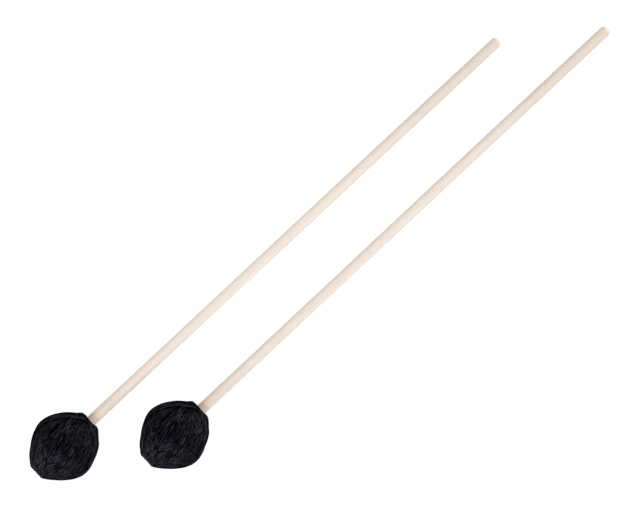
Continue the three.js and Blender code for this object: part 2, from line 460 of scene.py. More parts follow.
for mallet in MALLETS:
    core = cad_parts[f"{mallet}_core"]
    core.data.materials.clear()
    core.data.materials.append(moulded_rubber(mallet))
    print(core.name, "keeps its shape and gets a rubber finish")

# %% [markdown]
# ## Latex strip
#
# A thin strip of natural latex is wound round the core to soften its stroke, each turn lapping a little over
# the one before. It is hidden in the finished mallet. A spun outline with one small step for each turn shows
# the laps, and it is cheaper than a real spiral that nobody sees.

# %% Latex shape
core_radius = 14.0
core_length = 30.0
core_face_radius = 6.5
strip_start = 12.65
strip_length = 24.0
strip_thickness = 1.2
strip_gap = 0.3
strip_lap = 0.25
strip_turns = 6
strip_steps = 24
strip_sides = 48


def core_ball_radius(length):
    """The core's radius at a distance from the crown: half a cosine between its two flat faces."""
    share = (length - head_length / 2) / (core_length / 2)
    return core_face_radius + (core_radius - core_face_radius) * math.cos(share * math.pi / 2)


def strip_outline():
    """A closed outline: along the core at the inside, and back over the lapped turns."""
    lengths = [strip_start + strip_length * step / strip_steps for step in range(strip_steps + 1)]
    inner = [(core_ball_radius(length) + strip_gap, length) for length in lengths]
    outer = []
    for length in reversed(lengths):
        turn = (length - strip_start) / strip_length * strip_turns
        lap = strip_lap * (turn % 1.0)
        outer.append((core_ball_radius(length) + strip_thickness + lap, length))
    return inner + outer + inner[:1]


strip_mesh = spun("latex_strip", strip_outline(), strip_sides)
print("latex strip", len(strip_mesh.polygons), "faces")

# %% [markdown]
# Natural latex is honey-coloured and a little cloudy, and has a soft sheen. Its clouds are some millimetres
# wide and drawn out along the strip, which here means round the core, so they are short along the axis.

# %% Latex finish
cloud_size = (3.0, 3.0, 1.2)
cloud_relief = 0.1


def latex(mallet):
    """Natural latex: honey-coloured, faintly cloudy, with a soft sheen."""
    material, tree = new_material(f"{mallet}_natural_latex")
    place = own_place(tree, mallet)
    scaled = add(tree, "VectorMath", {"Vector": place, "Vector_001": cloud_size}, operation="DIVIDE")
    cloud = add(tree, "TexNoise", {"Vector": scaled, "Scale": 1.0, "Detail": 3.0})
    honey = add(tree, "Mix", {
        "Factor_Float": cloud, "A_Color": linear("#d9c39a"), "B_Color": linear("#cbb083"),
    }, **colours)
    relief = add(tree, "Bump", {"Height": cloud, "Strength": 0.2, "Distance": cloud_relief * MM})
    strip = add(tree, "BsdfPrincipled", {"Base Color": honey, "Roughness": 0.55, "Normal": relief})
    add(tree, "OutputMaterial", {"Surface": strip})
    return material


natural_latex = [latex(mallet) for mallet in MALLETS]
add_to_both("latex_strip", strip_mesh, natural_latex, "wrap_latex", "under_wrap")

# %% [markdown]
# ## The head's outline
#
# The photograph gives the wound head's outline well. It is a barrel with a small flat face at each end: the
# radius follows half a cosine from the face's rim to the belly, a touch fuller on the shaft's side. The
# faces dip towards the axis, where the loops are gathered, and the rims are rounded, because yarn can't turn
# a sharp corner. A formula in named sizes is easier to change than points that are placed by hand.

# %% Corners of the outline
shaft_side_fullness = 0.92
face_steps = 16
side_steps = 241
rim_rounding = 1.6
outline_step = 0.25


def distances(points):
    """How far each point of a line is from its start, along the line."""
    return np.r_[0, np.cumsum(np.linalg.norm(np.diff(points, axis=0), axis=1))]


def face(rim, dip):
    """Radii from the middle of a face to its rim, and how far each is sunk in the dip."""
    radii = np.linspace(0, rim, face_steps)[:-1]
    return radii, dip * (1 - (radii / rim) ** 2) ** 2


def barrel(length, belly, crown_rim, shaft_rim, dip):
    """Radius and length of the outline's points, from the middle of the crown to the shaft's face."""
    share = np.linspace(-1, 1, side_steps)
    rise = np.cos(share * np.pi / 2)
    rise[share > 0] **= shaft_side_fullness
    rise[-1] = 0
    rim = np.where(share < 0, crown_rim, shaft_rim)
    crown_radii, crown_dip = face(crown_rim, dip)
    shaft_radii, shaft_dip = face(shaft_rim, dip)
    radii = np.r_[crown_radii, rim + (belly - rim) * rise, shaft_radii[::-1]]
    lengths = np.r_[crown_dip, length * (1 + share) / 2, length - shaft_dip[::-1]]
    return np.column_stack([radii, lengths])


def rounded(points):
    """The points at even steps, with their rims rounded by a running mean that mirrors at the axis."""
    run = distances(points)
    even = np.arange(0, run[-1], outline_step)
    points = np.column_stack([np.interp(even, run, column) for column in points.T])
    reach = int(rim_rounding / outline_step)
    weights = np.hanning(2 * reach + 3)[1:-1]
    weights /= weights.sum()
    before = points[1:2 * reach + 2][::-1] * [-1, 1]
    after = points[-2 * reach - 2:-1][::-1] * [-1, 1]
    longer = np.vstack([before, points, after])
    smooth = [np.convolve(column, weights, "same") for column in longer.T]
    return np.column_stack(smooth)[2 * reach + 1:-(2 * reach + 1)]


print("outline in steps of", outline_step, "mm")

# %% [markdown]
# Yarn lies on the surface, and there a strand's place is simplest as a length along the outline and an angle
# round the axis. So the outline is stored by its length along the surface, which the code calls the run, and
# one function turns runs, angles and heights over the surface into points in space.

# %% Outline along the surface
belly_radius = 22.7
crown_rim_radius = 6.2
shaft_rim_radius = 7.4
face_dip = 1.3


class Outline:
    """A head's outline, by its run from the middle of the crown to the middle of the shaft's face."""

    def __init__(self, points, start):
        self.run = distances(points)
        self.total = self.run[-1]
        self.radius = np.maximum(points[:, 0], 0.0)
        self.length = points[:, 1] + start
        slope = np.gradient(points, axis=0)
        slope /= np.linalg.norm(slope, axis=1)[:, None]
        self.out_radius = slope[:, 1]
        self.out_length = -slope[:, 0]

    def at(self, run, values):
        """One of the stored columns at this run."""
        return np.interp(run, self.run, values)

    def run_where(self, radius, near_crown):
        """The run at which a face or shoulder has this radius."""
        half = len(self.run) // 2
        if near_crown:
            return np.interp(radius, self.radius[:half], self.run[:half])
        return np.interp(-radius, -self.radius[half:], self.run[half:])


def on_surface(outline, run, angle, height=0.0):
    """Points at this run, angle and height over the outline, and their outward directions."""
    out_radius = outline.at(run, outline.out_radius)
    out_length = outline.at(run, outline.out_length)
    radius = outline.at(run, outline.radius) + height * out_radius
    length = outline.at(run, outline.length) + height * out_length
    points = np.column_stack([radius * np.cos(angle), radius * np.sin(angle), length])
    outward = np.column_stack([out_radius * np.cos(angle), out_radius * np.sin(angle), out_length])
    return points, outward


outer_points = rounded(barrel(head_length, belly_radius, crown_rim_radius, shaft_rim_radius, face_dip))
outer_outline = Outline(outer_points, 0.0)
print("outline", round(outer_outline.total, 1), "mm from pole to pole, belly",
      round(outer_outline.radius.max(), 2), "mm")

# %% [markdown]
# ## One strand
#
# The winder passes one long yarn over the crown, down the side, round the shaft and up the other side, again
# and again. Pulled tight on a round body, a yarn takes the shortest way, and on a body of revolution that
# way obeys a simple rule: radius times the sine of its lean stays the same. So a strand that passes the
# crown 5 mm from the axis leans 13 degrees at the belly and ever more towards the faces. Strands made by that
# rule look pulled, which curves drawn by eye seldom do. The yarn passes the crown and the shaft at different
# distances, so the number changes over the middle half of the strand. What is then missing to the wanted
# angle is spread over the whole strand.

# %% A strand from crown to shaft
half_loop_steps = 200
change_from, change_to = 0.25, 0.75
least_gap_squared = 0.02  # keeps the turn finite where the strand just touches its smallest circle


def half_loop(outline, crown_pass, shaft_pass, advance):
    """A strand from crown to shaft: its runs and its angles, which start from 0 and end at the advance."""
    share = (np.arange(half_loop_steps) + 0.5) / half_loop_steps
    start = outline.run_where(crown_pass, True)
    end = outline.run_where(shaft_pass, False)
    run = start + (end - start) * (1 - np.cos(np.pi * share)) / 2
    change = np.clip((share - change_from) / (change_to - change_from), 0, 1)
    pass_radius = crown_pass + (shaft_pass - crown_pass) * change * change * (3 - 2 * change)
    radius = outline.at(run, outline.radius)
    step = (end - start) * np.pi / 2 * np.sin(np.pi * share) / half_loop_steps
    apart = np.sqrt(np.maximum(radius ** 2 - pass_radius ** 2, least_gap_squared))
    turn = np.cumsum(pass_radius / (radius * apart) * step)
    missing = advance - turn[-1]
    return run, turn + missing * (share + np.sin(2 * np.pi * share) / (2 * np.pi))


strand_run, strand_angle = half_loop(outer_outline, crown_pass=5.0, shaft_pass=6.0, advance=np.pi)
print("a strand goes", round(np.ptp(strand_run)), "mm down and", round(math.degrees(strand_angle[-1])),
      "degrees round")

# %% [markdown]
# ## Two kinds of yarn
#
# The head has two windings: a hidden one of thick plain wool that gives it its bulk, and the black one over
# it. The same functions can wind both if all that differs is kept in a table for each yarn. Soft yarn gives
# way, so the table also has shares of its radius that are left across and upwards, first next to the shaft,
# where all strands share a short circle, and then at the belly. The sizes of the black yarn come from the
# photograph, and those of the inner one are guessed.

# %% The yarns
yarn_sizes = {  # of the outer yarn, and of the inner one
    "radius": (1.0, 1.3),
    "pitch": (2.0, 2.6),  # between the loops of a bundle
    "rounds": (4, 5),  # of bundles round the head
    "bundles_in_round": (7.6, 9.6),
    "loops": ((2, 5), (1, 3)),  # in a bundle, the last number not included
    "crown_passes": ((2.2, 6.6), (1.8, 5.6)),  # how near the axis the yarn passes the crown
    "shaft_passes": ((5.2, 8.6), (4.8, 7.4)),
    "across": ((0.42, 1.0), (0.6, 1.05)),
    "upwards": ((0.2, 0.7), (0.15, 0.65)),
    "roundness": ((0.6, 0.85), (0.5, 0.75)),  # the tube's height as a share of its width
    "depth": (3.3, 3.3),  # of the whole winding
}
outer_yarn, inner_yarn = ({name: pair[at] for name, pair in yarn_sizes.items()} for at in (0, 1))
most_squeezed_radius = 5.0


def squeeze(outline, run, shares):
    """A share that grows with the radius, from its value next to the shaft to its value at the belly."""
    next_to_shaft, at_belly = shares
    radius = outline.at(run, outline.radius)
    room = outline.radius.max() - most_squeezed_radius
    return next_to_shaft + (at_belly - next_to_shaft) * np.clip((radius - most_squeezed_radius) / room, 0, 1)


print("yarns", 2 * outer_yarn["radius"], "mm and", 2 * inner_yarn["radius"], "mm thick")

# %% [markdown]
# ## Bundles
#
# A few loops are laid side by side. Then the yarn goes some way round the shaft, and the next bundle starts
# elsewhere: the starts step round the head evenly but for the winder's small errors. Strands on their way up
# lean the other way than those on their way down, so the bundles cross, and where they squeeze together at
# the rims, dark pockets stay open. That is what makes a head look wound by hand. Of many seeds, this one puts
# the bundles much as they lie in the photograph.

# %% The yarn's path
seed = 4105
first_bundle = math.radians(270)
bundle_jitter = 0.06
advance_spread = (0.85, 1.15)
arc_points = 12
path_spacing = 0.45


def even_steps(outline, run, angle):
    """The same strand with points at an even spacing."""
    points, _ = on_surface(outline, run, angle)
    along = distances(points)
    even = np.linspace(0, along[-1], max(int(along[-1] / path_spacing), 3))
    return np.interp(even, along, run), np.interp(even, along, angle)


def yarn_path(yarn, outline):
    """The whole winding as strands of runs and angles, and the strand counts at which bundles end."""
    half_pitch = yarn["pitch"] / outline.radius.max() / 2
    bundle_count = int(yarn["rounds"] * yarn["bundles_in_round"])
    strands = []
    bundle_ends = set()
    angle = first_bundle
    for number in range(1, bundle_count + 1):
        loops = int(random.integers(*yarn["loops"]))
        next_start = first_bundle + number * 2 * np.pi / yarn["bundles_in_round"]
        next_start += random.normal(0, bundle_jitter)
        crown_row = np.linspace(*random.uniform(*yarn["crown_passes"], 2), loops)
        shaft_row = np.linspace(*random.uniform(*yarn["shaft_passes"], 2), loops)
        for loop in range(loops):
            advance = np.pi + half_pitch * random.uniform(*advance_spread)
            run, turn = half_loop(outline, crown_row[loop], shaft_row[loop], advance)
            strands.append((run, angle + turn))
            angle += advance
            if loop == loops - 1 and number < bundle_count:
                extra = (next_start - angle - advance) % (2 * np.pi)
                arc = np.linspace(0, extra, arc_points)[1:]
                strands.append((np.full(len(arc), run[-1]), angle + arc))
                angle += extra
            strands.append((run[::-1], angle + turn[-1] - turn[::-1]))
            angle += advance
        bundle_ends.add(len(strands))
    return [even_steps(outline, run, turned) for run, turned in strands], bundle_ends


random = np.random.default_rng(seed)
outer_strands, outer_ends = yarn_path(outer_yarn, outer_outline)
print(len(outer_strands), "strands in", len(outer_ends), "bundles")

# %% [markdown]
# ## Laying the yarn
#
# Each strand lies on what was wound before it. A physics simulation could find out how, but it is slow, and
# it seldom comes to rest twice in the same way. A height map over the surface is enough: a new strand looks
# up what lies under its width, rests on that, and then adds its own back to the map. That gives true overs
# and unders in a second.

# %% The map under a strand
map_step = 0.4
map_columns = 360
across_yarn = np.linspace(-0.95, 0.95, 9)
back_of_yarn = np.sqrt(1 - across_yarn ** 2)
sink_share = 0.75
least_radius = 0.5
least_length = 1e-6


def contact(outline, run, angle, half_width, rows):
    """The cells of the map under a strand: for each of its points, a row of cells across it."""
    radius = np.maximum(outline.at(run, outline.radius), least_radius)
    forward = np.gradient(run)
    aside = np.gradient(angle) * radius
    length = np.maximum(np.hypot(forward, aside), least_length)
    offset = half_width[:, None] * across_yarn
    row = np.rint((run[:, None] - offset * (aside / length)[:, None]) / map_step)
    turned = angle[:, None] + offset * (forward / length / radius)[:, None]
    column = np.rint(turned / (2 * np.pi) * map_columns)
    return np.clip(row, 0, rows - 1).astype(int), column.astype(int) % map_columns


def resting_height(pile, cells, half_height):
    """How high a strand's middle must be over the outline to rest on the pile in these cells."""
    under = (pile[cells] * back_of_yarn).sum(axis=1) / back_of_yarn.sum()
    return under + half_height * sink_share


print("a map of", int(outer_outline.total / map_step) + 2, "by", map_columns, "cells")

# %% [markdown]
# The winder keeps the yarn under tension. It can't hang in a hollow or kink over a ridge, but runs straight
# from one point that carries it to the next. Repeated averaging of neighbouring heights finds that line, as
# long as no height may fall under what carries the strand, and the surface's own bend is taken off.

# %% Tension
tension_rounds = 80
smoothing_rounds = 4


def pulled_tight(outline, run, angle, need, start):
    """The height of a strand under tension, which spans the hollows between the points that carry it."""
    points, outward = on_surface(outline, run, angle)
    bend = (outward[1:-1] * (points[1:-1] - (points[:-2] + points[2:]) / 2)).sum(axis=1)
    height = need.copy()
    height[0] = start
    for _ in range(tension_rounds):
        height[1:-1] = np.maximum(need[1:-1], (height[:-2] + height[2:]) / 2 - bend)
    for _ in range(smoothing_rounds):
        height[1:-1] = (height[:-2] + 2 * height[1:-1] + height[2:]) / 4
    return height


print("tension in", tension_rounds, "rounds")

# %% [markdown]
# Soft yarn gives way under more yarn. After each bundle the pile is pressed: its peaks come down more than
# its hollows, and it is held to the depth that the winding has at that time. The press keeps the order of
# the strands, so what lay on top stays on top. It also flattens them, but never below a least share of their
# thickness, because yarn can't be squashed to paper.

# %% Pressing
evenness = 0.8
least_pressed = 0.4
least_pile = 0.05
least_height = 0.02
press_reach = 3


def smooth_rows(values, reach):
    """A running mean over the rows of the map."""
    return np.convolve(np.pad(values, reach, "edge"), np.ones(2 * reach + 1) / (2 * reach + 1), "valid")


def press(pile, strands, heights, pressed, depth):
    """Press the pile. Its strands come down with it and get flatter. Gives the new pile."""
    mean = np.maximum(smooth_rows(pile.mean(axis=1), press_reach), least_pile)
    target = np.minimum(mean, depth)
    map_run = np.arange(len(mean)) * map_step
    for index, (run, _) in enumerate(strands):
        before = np.maximum(heights[index], least_height)
        share = before / np.interp(run, map_run, mean)
        heights[index] = np.interp(run, map_run, target) * share ** evenness
        flatter = pressed[index] * np.minimum(evenness * heights[index] / before, 1)
        pressed[index] = np.maximum(flatter, least_pressed)
    return target[:, None] * (pile / mean[:, None]) ** evenness


print("a pressed strand keeps at least", least_pressed, "of its thickness")

# %% [markdown]
# Now the whole winding is laid, strand after strand. The last few points of a strand go into the map one
# strand later, because they are the turn where the next one starts, and a yarn doesn't rest on itself there.
# At the end the pile's top is set on the outline that the photograph gives, and the few strands that would
# still stand far out of it are held back.

# %% Winding
turning_points = 10
top_percentile = 88
top_reach = 4
highest_strand = 0.35


def lay(yarn, outline, strands, bundle_ends):
    """Wind all strands. Gives the run, angle, height and pressed share of each, and the pile."""
    rows = int(outline.total / map_step) + 2
    pile = np.zeros((rows, map_columns))
    heights, pressed = [], []
    waiting = None
    start = 0.0
    for number, (run, angle) in enumerate(strands, 1):
        half_width = yarn["radius"] * squeeze(outline, run, yarn["across"])
        half_height = yarn["radius"] * squeeze(outline, run, yarn["upwards"])
        row, column = contact(outline, run, angle, half_width, rows)
        need = resting_height(pile, (row, column), half_height)
        if waiting:
            np.maximum.at(pile, *waiting)
        height = pulled_tight(outline, run, angle, need, start or need[0])
        back = height[:, None] + half_height[:, None] * back_of_yarn
        cut = -turning_points
        np.maximum.at(pile, (row[:cut], column[:cut]), back[:cut])
        waiting = ((row[cut:], column[cut:]), back[cut:])
        heights.append(height)
        pressed.append(np.ones(len(run)))
        if number in bundle_ends:
            np.maximum.at(pile, *waiting)
            waiting = None
            pile = press(pile, strands[:number], heights, pressed, yarn["depth"] * number / len(strands))
        start = heights[-1][-1]
    top = smooth_rows(np.percentile(pile, top_percentile, axis=1), top_reach)
    print("pile up to", round(top.max(), 1), "mm deep")
    laid = []
    for (run, angle), height, share in zip(strands, heights, pressed):
        over = height - np.interp(run, np.arange(rows) * map_step, top)
        laid.append((run, angle, np.minimum(over, highest_strand), share))
    return laid, pile - top[:, None]


outer_laid, outer_pile = lay(outer_yarn, outer_outline, outer_strands, outer_ends)

# %% [markdown]
# ## The yarn as a mesh
#
# The whole winding is one poly curve with a round bevel, which Blender turns into a tube. Hair curves would
# be lighter, but they give no mesh that can be exported and pressed flat. The tube's vertices come in a
# known order: the two end caps first, and then one ring for each point. So each vertex can be traced to its
# point of the path, and the tube is flattened against the surface where the yarn is pressed.

# %% Curve to tube
yarn_bevel_resolution = 2


def tube_sides(bevel_resolution):
    """How many sides Blender gives a round bevel."""
    return 4 + 2 * bevel_resolution


def round_tube(name, points, radii, bevel_resolution):
    """A closed round tube along points, and for each of its vertices the number of its point."""
    curve = bpy.data.curves.new(name, "CURVE")
    curve.dimensions = "3D"
    curve.bevel_depth = 1.0
    curve.bevel_resolution = bevel_resolution
    curve.use_fill_caps = True
    spline = curve.splines.new("POLY")
    spline.points.add(len(points) - 1)
    spline.points.foreach_set("co", np.column_stack([points, np.ones(len(points))]).ravel())
    spline.points.foreach_set("radius", radii)
    holder = bpy.data.objects.new(name, curve)
    mesh = bpy.data.meshes.new_from_object(holder)
    bpy.data.objects.remove(holder)
    bpy.data.curves.remove(curve)
    sides = tube_sides(bevel_resolution)
    caps = np.r_[np.full(sides, len(points) - 1), np.zeros(sides, int)]
    return mesh, np.r_[caps, np.repeat(np.arange(len(points)), sides)]


def corners_of(mesh):
    """The places of all vertices of a mesh, one row for each."""
    corners = np.empty(len(mesh.vertices) * 3)
    mesh.vertices.foreach_get("co", corners)
    return corners.reshape(-1, 3)


def flattened(mesh, middles, outward, kept):
    """Flatten a tube towards the surface to the share kept. Gives how high each vertex was in the tube."""
    corners = corners_of(mesh)
    lift = ((corners - middles) * outward).sum(axis=1)
    corners -= ((1 - kept) * lift)[:, None] * outward
    mesh.vertices.foreach_set("co", corners.ravel())
    return lift


print("the yarn's tube has", tube_sides(yarn_bevel_resolution), "sides")

# %% [markdown]
# The material has to know where it is on the yarn. A UV map stores millimetres along the yarn and the share
# of the way round it, so that plies can twist along the strand. Where a ring closes, its first vertex counts
# as a full turn, or the pattern would run backwards over the last face. Two values on the vertices say how
# deep the strand lies under the outline, and how near a vertex is to the strand's back. The finish paints
# shade by both, on deep strands and on the flanks away from the back, and the back also sets where the yarn
# shines.

# %% Where each corner is on the yarn
def write_yarn_uv(mesh, ring, points, sides):
    """Millimetres along the tube, and the share of the way round it, for each corner of each face."""
    corner = np.empty(len(mesh.loops), int)
    mesh.loops.foreach_get("vertex_index", corner)
    column = (corner - 2 * sides) % sides
    counts = np.empty(len(mesh.polygons), int)
    mesh.polygons.foreach_get("loop_total", counts)
    of_face = np.repeat(np.arange(len(counts)), counts)
    closing = np.zeros(len(counts), bool)
    np.logical_or.at(closing, of_face, column == sides - 1)
    share = np.where((column == 0) & closing[of_face], 1.0, column / sides)
    layer = mesh.uv_layers[0] if mesh.uv_layers else mesh.uv_layers.new(name="UVMap")
    layer.uv.foreach_set("vector", np.column_stack([distances(points)[ring[corner]], share]).ravel())


def joined(name, *meshes):
    """One mesh of several."""
    shape = bmesh.new()
    for mesh in meshes:
        shape.from_mesh(mesh)
    return finished(name, shape)


def tube(name, points, radii, bevel_resolution, outward, kept, depth):
    """A closed tube along points, flattened along outward to the share kept, with all the material reads."""
    mesh, ring = round_tube(name, points, radii, bevel_resolution)
    lift = flattened(mesh, points[ring], outward[ring], kept[ring])
    write_yarn_uv(mesh, ring, points, tube_sides(bevel_resolution))
    for value, numbers in (("depth", depth[ring]), ("back", lift / radii[ring])):
        mesh.attributes.new(value, "FLOAT", "POINT").data.foreach_set("value", numbers)
    return joined(name, mesh)


print("the material reads UVMap, depth and back")

# %% [markdown]
# ## Yarn finish
#
# Mallet yarn is a soft plied yarn of acrylic and wool, dyed black. From a step away it reads as charcoal with
# a faint cold shine on the back of each strand, and black in the hollows, where the finish paints shade.
# Close by, three plies turn about each other, and fine fibres run along them. A fibre is only 0.02 mm thick,
# so what is drawn are tufts of them, a fifth of a millimetre wide. The pattern is wrapped round the strand
# with a sine and a cosine, which keeps it whole where the UV map closes. Along the yarn, the dye and the
# fluff change every few millimetres.

# %% Plies, fibres and dye
tuft_length = 1.8
tuft_bands = 5.0
dye_patch_length = 8.0


def yarn_patterns(tree, lay_length, plies):
    """What the material knows of a place on a yarn: ply, fibre and dye, and the two values on the mesh."""
    uv = add(tree, "UVMap", uv_map="UVMap")
    twist = (2 * math.pi / lay_length, 2 * math.pi, 0)
    angle = add(tree, "VectorMath", {"Vector": uv, "Vector_001": twist}, operation="DOT_PRODUCT")
    ply_angle = add(tree, "Math", {"Value": angle, "Value_001": plies / 2}, operation="MULTIPLY")
    wave = add(tree, "Math", {"Value": ply_angle}, operation="SINE")
    around = add(tree, "CombineXYZ", {
        "X": add(tree, "Math", {"Value": angle}, operation="SINE"),
        "Y": add(tree, "Math", {"Value": angle}, operation="COSINE"),
        "Z": add(tree, "SeparateXYZ", {"Vector": uv}).outputs["X"],
    })
    bands = (tuft_bands, tuft_bands, 1 / tuft_length)
    tufts = add(tree, "VectorMath", {"Vector": around, "Vector_001": bands}, operation="MULTIPLY")
    stretch = (1 / dye_patch_length, 0, 0)
    patches = add(tree, "VectorMath", {"Vector": uv, "Vector_001": stretch}, operation="MULTIPLY")
    return {
        "ply": add(tree, "Math", {"Value": wave}, operation="ABSOLUTE"),
        "fibre": add(tree, "TexNoise", {"Vector": tufts, "Scale": 1.0, "Detail": 2.0, "Roughness": 0.6}),
        "dye": add(tree, "TexNoise", {"Vector": patches, "Scale": 1.0, "Detail": 2.0}),
        "depth": add(tree, "Attribute", attribute_name="depth").outputs["Fac"],
        "back": add(tree, "Attribute", attribute_name="back").outputs["Fac"],
    }


print("tufts", tuft_length, "mm and dye patches", dye_patch_length, "mm long")

# %% [markdown]
# The colour goes from painted shade in the groove between two plies to the ply's own, and to bright fluff
# here and there. Deep strands and the flanks of each strand get the same groove shade: painted shade in the
# hollows of the winding and on the sides of each strand, which is what makes the hollows read as deep. The
# shine lies on the backs only: there the yarn has been drawn smooth, while its flanks are dull, and so is all
# that is seen at a flat angle, where fluff stands in the way.

# %% Yarn colour and shine
# Painted shade: the groove shade colour fills the creases between plies, and covers deep strands and each
# strand's flanks.
ply_layers = [("ply", 0.1, 0.8, 1.0, "own")]
painted_shade_layers = [("depth", 0.1, 1.3, 1.0, "groove"), ("back", 0.95, 0.4, 1.0, "groove")]
shine_layers = [("back", 0.2, 0.9, 1.0, "#e0e4ff")]
fluff_limits = {"fibre": (0.3, 0.65), "dye": (0.44, 0.62)}


def yarn_colour(tree, values):
    """The colour of a plied yarn, with painted shade in its grooves, in its hollows and on its flanks."""
    fluff = []
    for name, (start, full) in fluff_limits.items():
        limits = {"Value": values[name], "From Min": start, "From Max": full}
        fluff.append(add(tree, "MapRange", limits, **softly))
    share = add(tree, "Math", {"Value": fluff[0], "Value_001": fluff[1]}, operation="MULTIPLY")
    ply = layered(tree, values["groove"], ply_layers, values)
    fluffy = add(tree, "Mix", {"Factor_Float": share, "A_Color": ply, "B_Color": values["bright"]}, **colours)
    return layered(tree, fluffy, painted_shade_layers, values)


def yarn_roughness(tree, values):
    """Smooth on the backs of the strands, and dull on their flanks and at flat angles."""
    smoothness = add(tree, "MapRange", {
        "Value": values["dye"], "From Min": 0.4, "From Max": 0.6, "To Min": 0.6, "To Max": 1.0,
    }, **softly)
    drawn = add(tree, "Math", {"Value": values["back"], "Value_001": smoothness}, operation="MULTIPLY")
    on_back = add(tree, "MapRange", {
        "Value": drawn, "From Min": 0.3, "From Max": 0.95, "To Min": 1.0, "To Max": 0.22,
    }, **softly)
    facing = add(tree, "LayerWeight", {"Blend": 0.5}).outputs["Facing"]
    flat = add(tree, "MapRange", {"Value": facing, "From Min": 0.25, "From Max": 0.6}, **softly)
    return add(tree, "Math", {"Value": on_back, "Value_001": flat}, operation="MAXIMUM")


print("strands", painted_shade_layers[0][2], "mm down are as dark as a groove")

# %% [markdown]
# One function makes the finish of all three yarns, from their colours, their sheen and the length over which
# their plies turn once round: the black yarn, the duller wool under it, and the waxed thread, whose tight
# plies catch small glints. Loose fibres with air between them reflect less than plastic, hence the low IOR.

# %% Yarn materials
yarn_relief = 0.3
fluff_height = 0.5
yarn_ior = 1.15
plies_in_yarn = 3


def plied_yarn(name, groove, own, bright, sheen, lay_length):
    """Plied yarn: plies twisted along the strand, fibres along the plies, a soft shine on its back, and
    painted shade in the groove shade colour.
    """
    material, tree = new_material(name)
    values = yarn_patterns(tree, lay_length, plies_in_yarn)
    values.update(groove=linear(groove), own=linear(own), bright=linear(bright))
    fluff = add(tree, "Math", {"Value": values["fibre"], "Value_001": fluff_height}, operation="MULTIPLY")
    height = add(tree, "Math", {"Value": values["ply"], "Value_001": fluff}, operation="ADD")
    yarn = add(tree, "BsdfPrincipled", {
        "Base Color": yarn_colour(tree, values),
        "Roughness": yarn_roughness(tree, values),
        "IOR": yarn_ior,
        "Specular Tint": layered(tree, linear("#000000"), shine_layers, values),
        "Sheen Weight": sheen,
        "Sheen Roughness": 0.35,
        "Sheen Tint": linear("#9aa0c0"),
        "Normal": add(tree, "Bump", {"Height": height, "Strength": 1.0, "Distance": yarn_relief * MM}),
    })
    add(tree, "OutputMaterial", {"Surface": yarn})
    return material


# Each yarn's first colour is its groove shade: painted shade for the creases between plies, the hollows and
# the flanks.
black_yarn = plied_yarn("black_acrylic_wool_yarn", "#010102", "#09090e", "#3e3e4d", 0.0, lay_length=9.0)
plain_yarn = plied_yarn("charcoal_wool_yarn", "#0a0a0c", "#1c1c20", "#303038", 0.03, lay_length=9.0)
waxed_thread = plied_yarn("waxed_black_thread", "#060608", "#141418", "#3c3c44", 0.02, lay_length=1.6)
print("finishes:", black_yarn.name, plain_yarn.name, waxed_thread.name)

# %% [markdown]
# ## Outer winding
#
# The strands' places become points, and the points a tube. A point every half millimetre would make far too
# many faces, so a strand keeps few points where it runs straight and more where it bends.

# %% The mesh of a winding
largest_turn = math.radians(18)
shortest_step = 0.01
outer_longest_step = 2.4


def needed_points(points, longest_step):
    """Which points a smooth tube needs: few where it runs straight, and more where it bends."""
    steps = np.diff(points, axis=0)
    lengths = np.linalg.norm(steps, axis=1)
    distinct = lengths > shortest_step
    directions = steps / np.maximum(lengths, shortest_step)[:, None]
    turns = np.arccos(np.clip((directions[1:] * directions[:-1]).sum(axis=1), -1, 1))
    turns *= distinct[1:] & distinct[:-1]
    cost = np.cumsum(np.r_[0, lengths] / longest_step + np.r_[0, turns, 0] / largest_turn)
    return np.r_[True, (np.diff(np.floor(cost)) > 0) & distinct]


def winding_mesh(name, yarn, outline, laid, longest_step):
    """The mesh of a whole winding, in the mallet's own millimetres."""
    run, angle, height, pressed = (np.concatenate(column) for column in zip(*laid))
    radii = yarn["radius"] * squeeze(outline, run, yarn["across"])
    kept = squeeze(outline, run, yarn["roundness"]) * pressed
    points, outward = on_surface(outline, run, angle, height)
    needed = needed_points(points, longest_step)
    print(name, round(distances(points)[-1] * MM, 1), "m of yarn,", needed.sum(), "of", len(points), "points")
    return tube(name, points[needed], radii[needed], yarn_bevel_resolution, outward[needed], kept[needed],
                -height[needed])


outer_tube = winding_mesh("outer_winding", outer_yarn, outer_outline, outer_laid, outer_longest_step)

# %% [markdown]
# The lower layers of a real winding are imported solid by the pull of the yarn over them, and no light passes
# through. Single strands don't show there, so one dark spun shell stands for them, a millimetre or so under
# the surface, and closes the slits between the strands. More layers of strands would do that too, at many
# times the faces. The shell has no back of a strand, so the finish paints it all in the groove shade colour:
# painted shade, as dark as the deepest hollow.

# %% The imported layers
packed_from_radius = 2.7
packed_to_radius = 4.5
packed_top = (0.7, 1.1)
packed_bottom = (1.6, 2.6)
packed_steps = 72
packed_sides = 64


def packed_outline(outline):
    """A closed outline under the strands: forward along its top, and back along its bottom."""
    start = outline.run_where(packed_from_radius, True)
    end = outline.run_where(packed_to_radius, False)
    run = np.linspace(start, end, packed_steps)
    top, _ = on_surface(outline, run, np.zeros(packed_steps), -squeeze(outline, run, packed_top))
    bottom, _ = on_surface(outline, run, np.zeros(packed_steps), -squeeze(outline, run, packed_bottom))
    return [(point[0], point[2]) for point in np.vstack([top, bottom[::-1], top[:1]])]


packed_mesh = spun("packed_layers", packed_outline(outer_outline), packed_sides)
outer_mesh = joined("outer_winding", outer_tube, packed_mesh)
print("packed layers", len(packed_mesh.polygons), "of", len(outer_mesh.polygons), "faces")

# %% [markdown]
# Both heads in the photograph look alike, strand for strand, so one mesh serves both. Where a head rests on
# the table, the soft yarn is pressed flat. A cloth simulation could do that, but lifting whatever would be
# under the table gives the same small flat, and is exact.

# %% Put the outer winding on both mallets
rest_height = 0.00002


